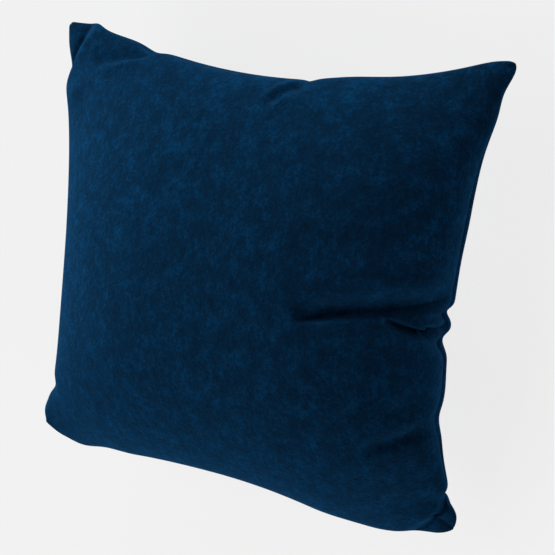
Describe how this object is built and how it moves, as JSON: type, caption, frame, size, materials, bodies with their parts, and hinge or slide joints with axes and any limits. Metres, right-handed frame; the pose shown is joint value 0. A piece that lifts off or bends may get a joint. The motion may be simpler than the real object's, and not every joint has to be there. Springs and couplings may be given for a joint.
{
  "type": "square scatter cushion",
  "caption": "Plump square scatter cushion in short-pile velvet with knife-edge seams, drawn-in sides and soft ears, lying on its back.",
  "frame": {"origin": "on the surface that the cushion lies on, under the middle of its box", "axes": "+Z out of the front panel, +Y up the face, +X to the right of the face seen from the front"},
  "size_m": [0.4484, 0.4376, 0.1506],
  "materials": {
    "velvet": "short-pile velvet, deep teal navy, matt with a soft sheen"
  },
  "bodies": {
    "root": {"cushion": "velvet"}
  },
  "joints": []
}
